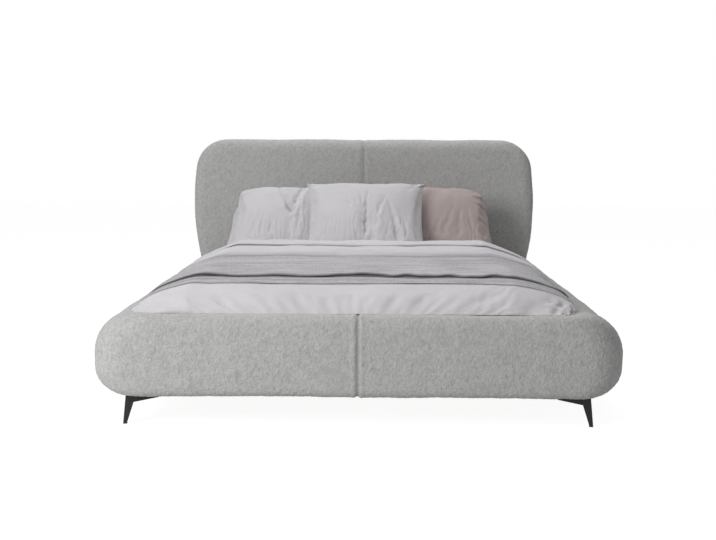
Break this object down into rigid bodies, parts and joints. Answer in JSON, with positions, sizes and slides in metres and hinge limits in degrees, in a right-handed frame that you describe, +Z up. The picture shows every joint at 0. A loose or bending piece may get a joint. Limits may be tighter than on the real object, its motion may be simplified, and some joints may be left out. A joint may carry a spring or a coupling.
{
  "type": "upholstered bed",
  "caption": "Upholstered double bed with a rounded padded headboard, puffy side rails, black metal corner legs, a sprung slat base, a mattress, a duvet, a throw and pillows.",
  "frame": {"origin": "on the floor, under the middle of the bed's length and width", "axes": "+X to the right seen from the foot, +Y towards the headboard, +Z up"},
  "size_m": [2, 2.366, 1.08],
  "materials": {
    "looped_fabric": "light grey looped upholstery fabric",
    "foam": "soft upholstery foam",
    "dust_cover": "black woven dust cover",
    "timber": "sawn pine",
    "beech_plywood": "moulded beech plywood, satin lacquer",
    "black_plastic": "matt black",
    "zinc_steel": "bright zinc plating",
    "black_metal": "satin black powder coat",
    "mattress_ticking": "white knitted ticking",
    "duvet_cotton": "pale lilac-white cotton",
    "throw_fabric": "mid grey woven throw",
    "taupe_cotton": "pale taupe cotton",
    "lilac_cotton": "pale lilac-grey cotton"
  },
  "bodies": {
    "frame": {"headboard_cover": "looped_fabric", "headboard_foam": "foam", "headboard_frame": "timber", "headboard_back_panel": "dust_cover", "footboard_cover": "looped_fabric", "footboard_foam": "foam", "footboard_frame": "timber", "rail_cover_left": "looped_fabric", "rail_cover_right": "looped_fabric", "rail_foam_left": "foam", "rail_foam_right": "foam", "rail_frame_left": "timber", "rail_frame_right": "timber", "slat_ledge_left": "timber", "slat_ledge_right": "timber", "ledge_screws": "zinc_steel", "slats_left": "beech_plywood", "slats_right": "beech_plywood", "side_caps_left": "black_plastic", "side_caps_right": "black_plastic", "center_caps": "black_plastic", "center_beam": "black_metal", "beam_hanger_foot": "black_metal", "beam_hanger_head": "black_metal", "hanger_bolts": "zinc_steel", "support_leg_front": "black_metal", "support_leg_rear": "black_metal", "leg_insert_front": "black_plastic", "leg_insert_rear": "black_plastic", "support_leg_screws": "zinc_steel", "bracket_front_left": "black_metal", "bracket_front_right": "black_metal", "bracket_rear_left": "black_metal", "bracket_rear_right": "black_metal", "bracket_bolts": "zinc_steel", "leg_front_left": "black_metal", "leg_front_right": "black_metal", "leg_rear_left": "black_metal", "leg_rear_right": "black_metal", "leg_screws": "zinc_steel", "leg_glides": "black_plastic"},
    "foot_front": {"levelling_foot_front": "black_plastic"},
    "foot_rear": {"levelling_foot_rear": "black_plastic"},
    "mattress": {"mattress": "mattress_ticking"},
    "bedding": {"duvet": "duvet_cotton", "throw": "throw_fabric"},
    "pillows_rear": {"pillow_rear_left": "lilac_cotton", "pillow_rear_right": "taupe_cotton"},
    "pillows_side": {"pillow_left": "lilac_cotton", "pillow_right": "taupe_cotton"},
    "pillow_center": {"pillow_center": "lilac_cotton"}
  },
  "joints": [
    {"name": "foot_front_screw", "type": "slide", "parent": "frame", "child": "foot_front", "axis": [0, 0, -1], "range_m": [0, 0.015]},
    {"name": "foot_rear_screw", "type": "slide", "parent": "frame", "child": "foot_rear", "axis": [0, 0, -1], "range_m": [0, 0.015]},
    {"name": "mattress_lift", "type": "slide", "parent": "frame", "child": "mattress", "axis": [0, 0, 1], "range_m": [0, 0.25]},
    {"name": "bedding_lift", "type": "slide", "parent": "mattress", "child": "bedding", "axis": [0, 0, 1], "range_m": [0, 0.35]},
    {"name": "rear_pillows_lift", "type": "slide", "parent": "mattress", "child": "pillows_rear", "axis": [0, 0, 1], "range_m": [0, 0.35]},
    {"name": "side_pillows_lift", "type": "slide", "parent": "pillows_rear", "child": "pillows_side", "axis": [0, 0, 1], "range_m": [0, 0.35]},
    {"name": "center_pillow_lift", "type": "slide", "parent": "pillows_side", "child": "pillow_center", "axis": [0, 0, 1], "range_m": [0, 0.35]}
  ]
}
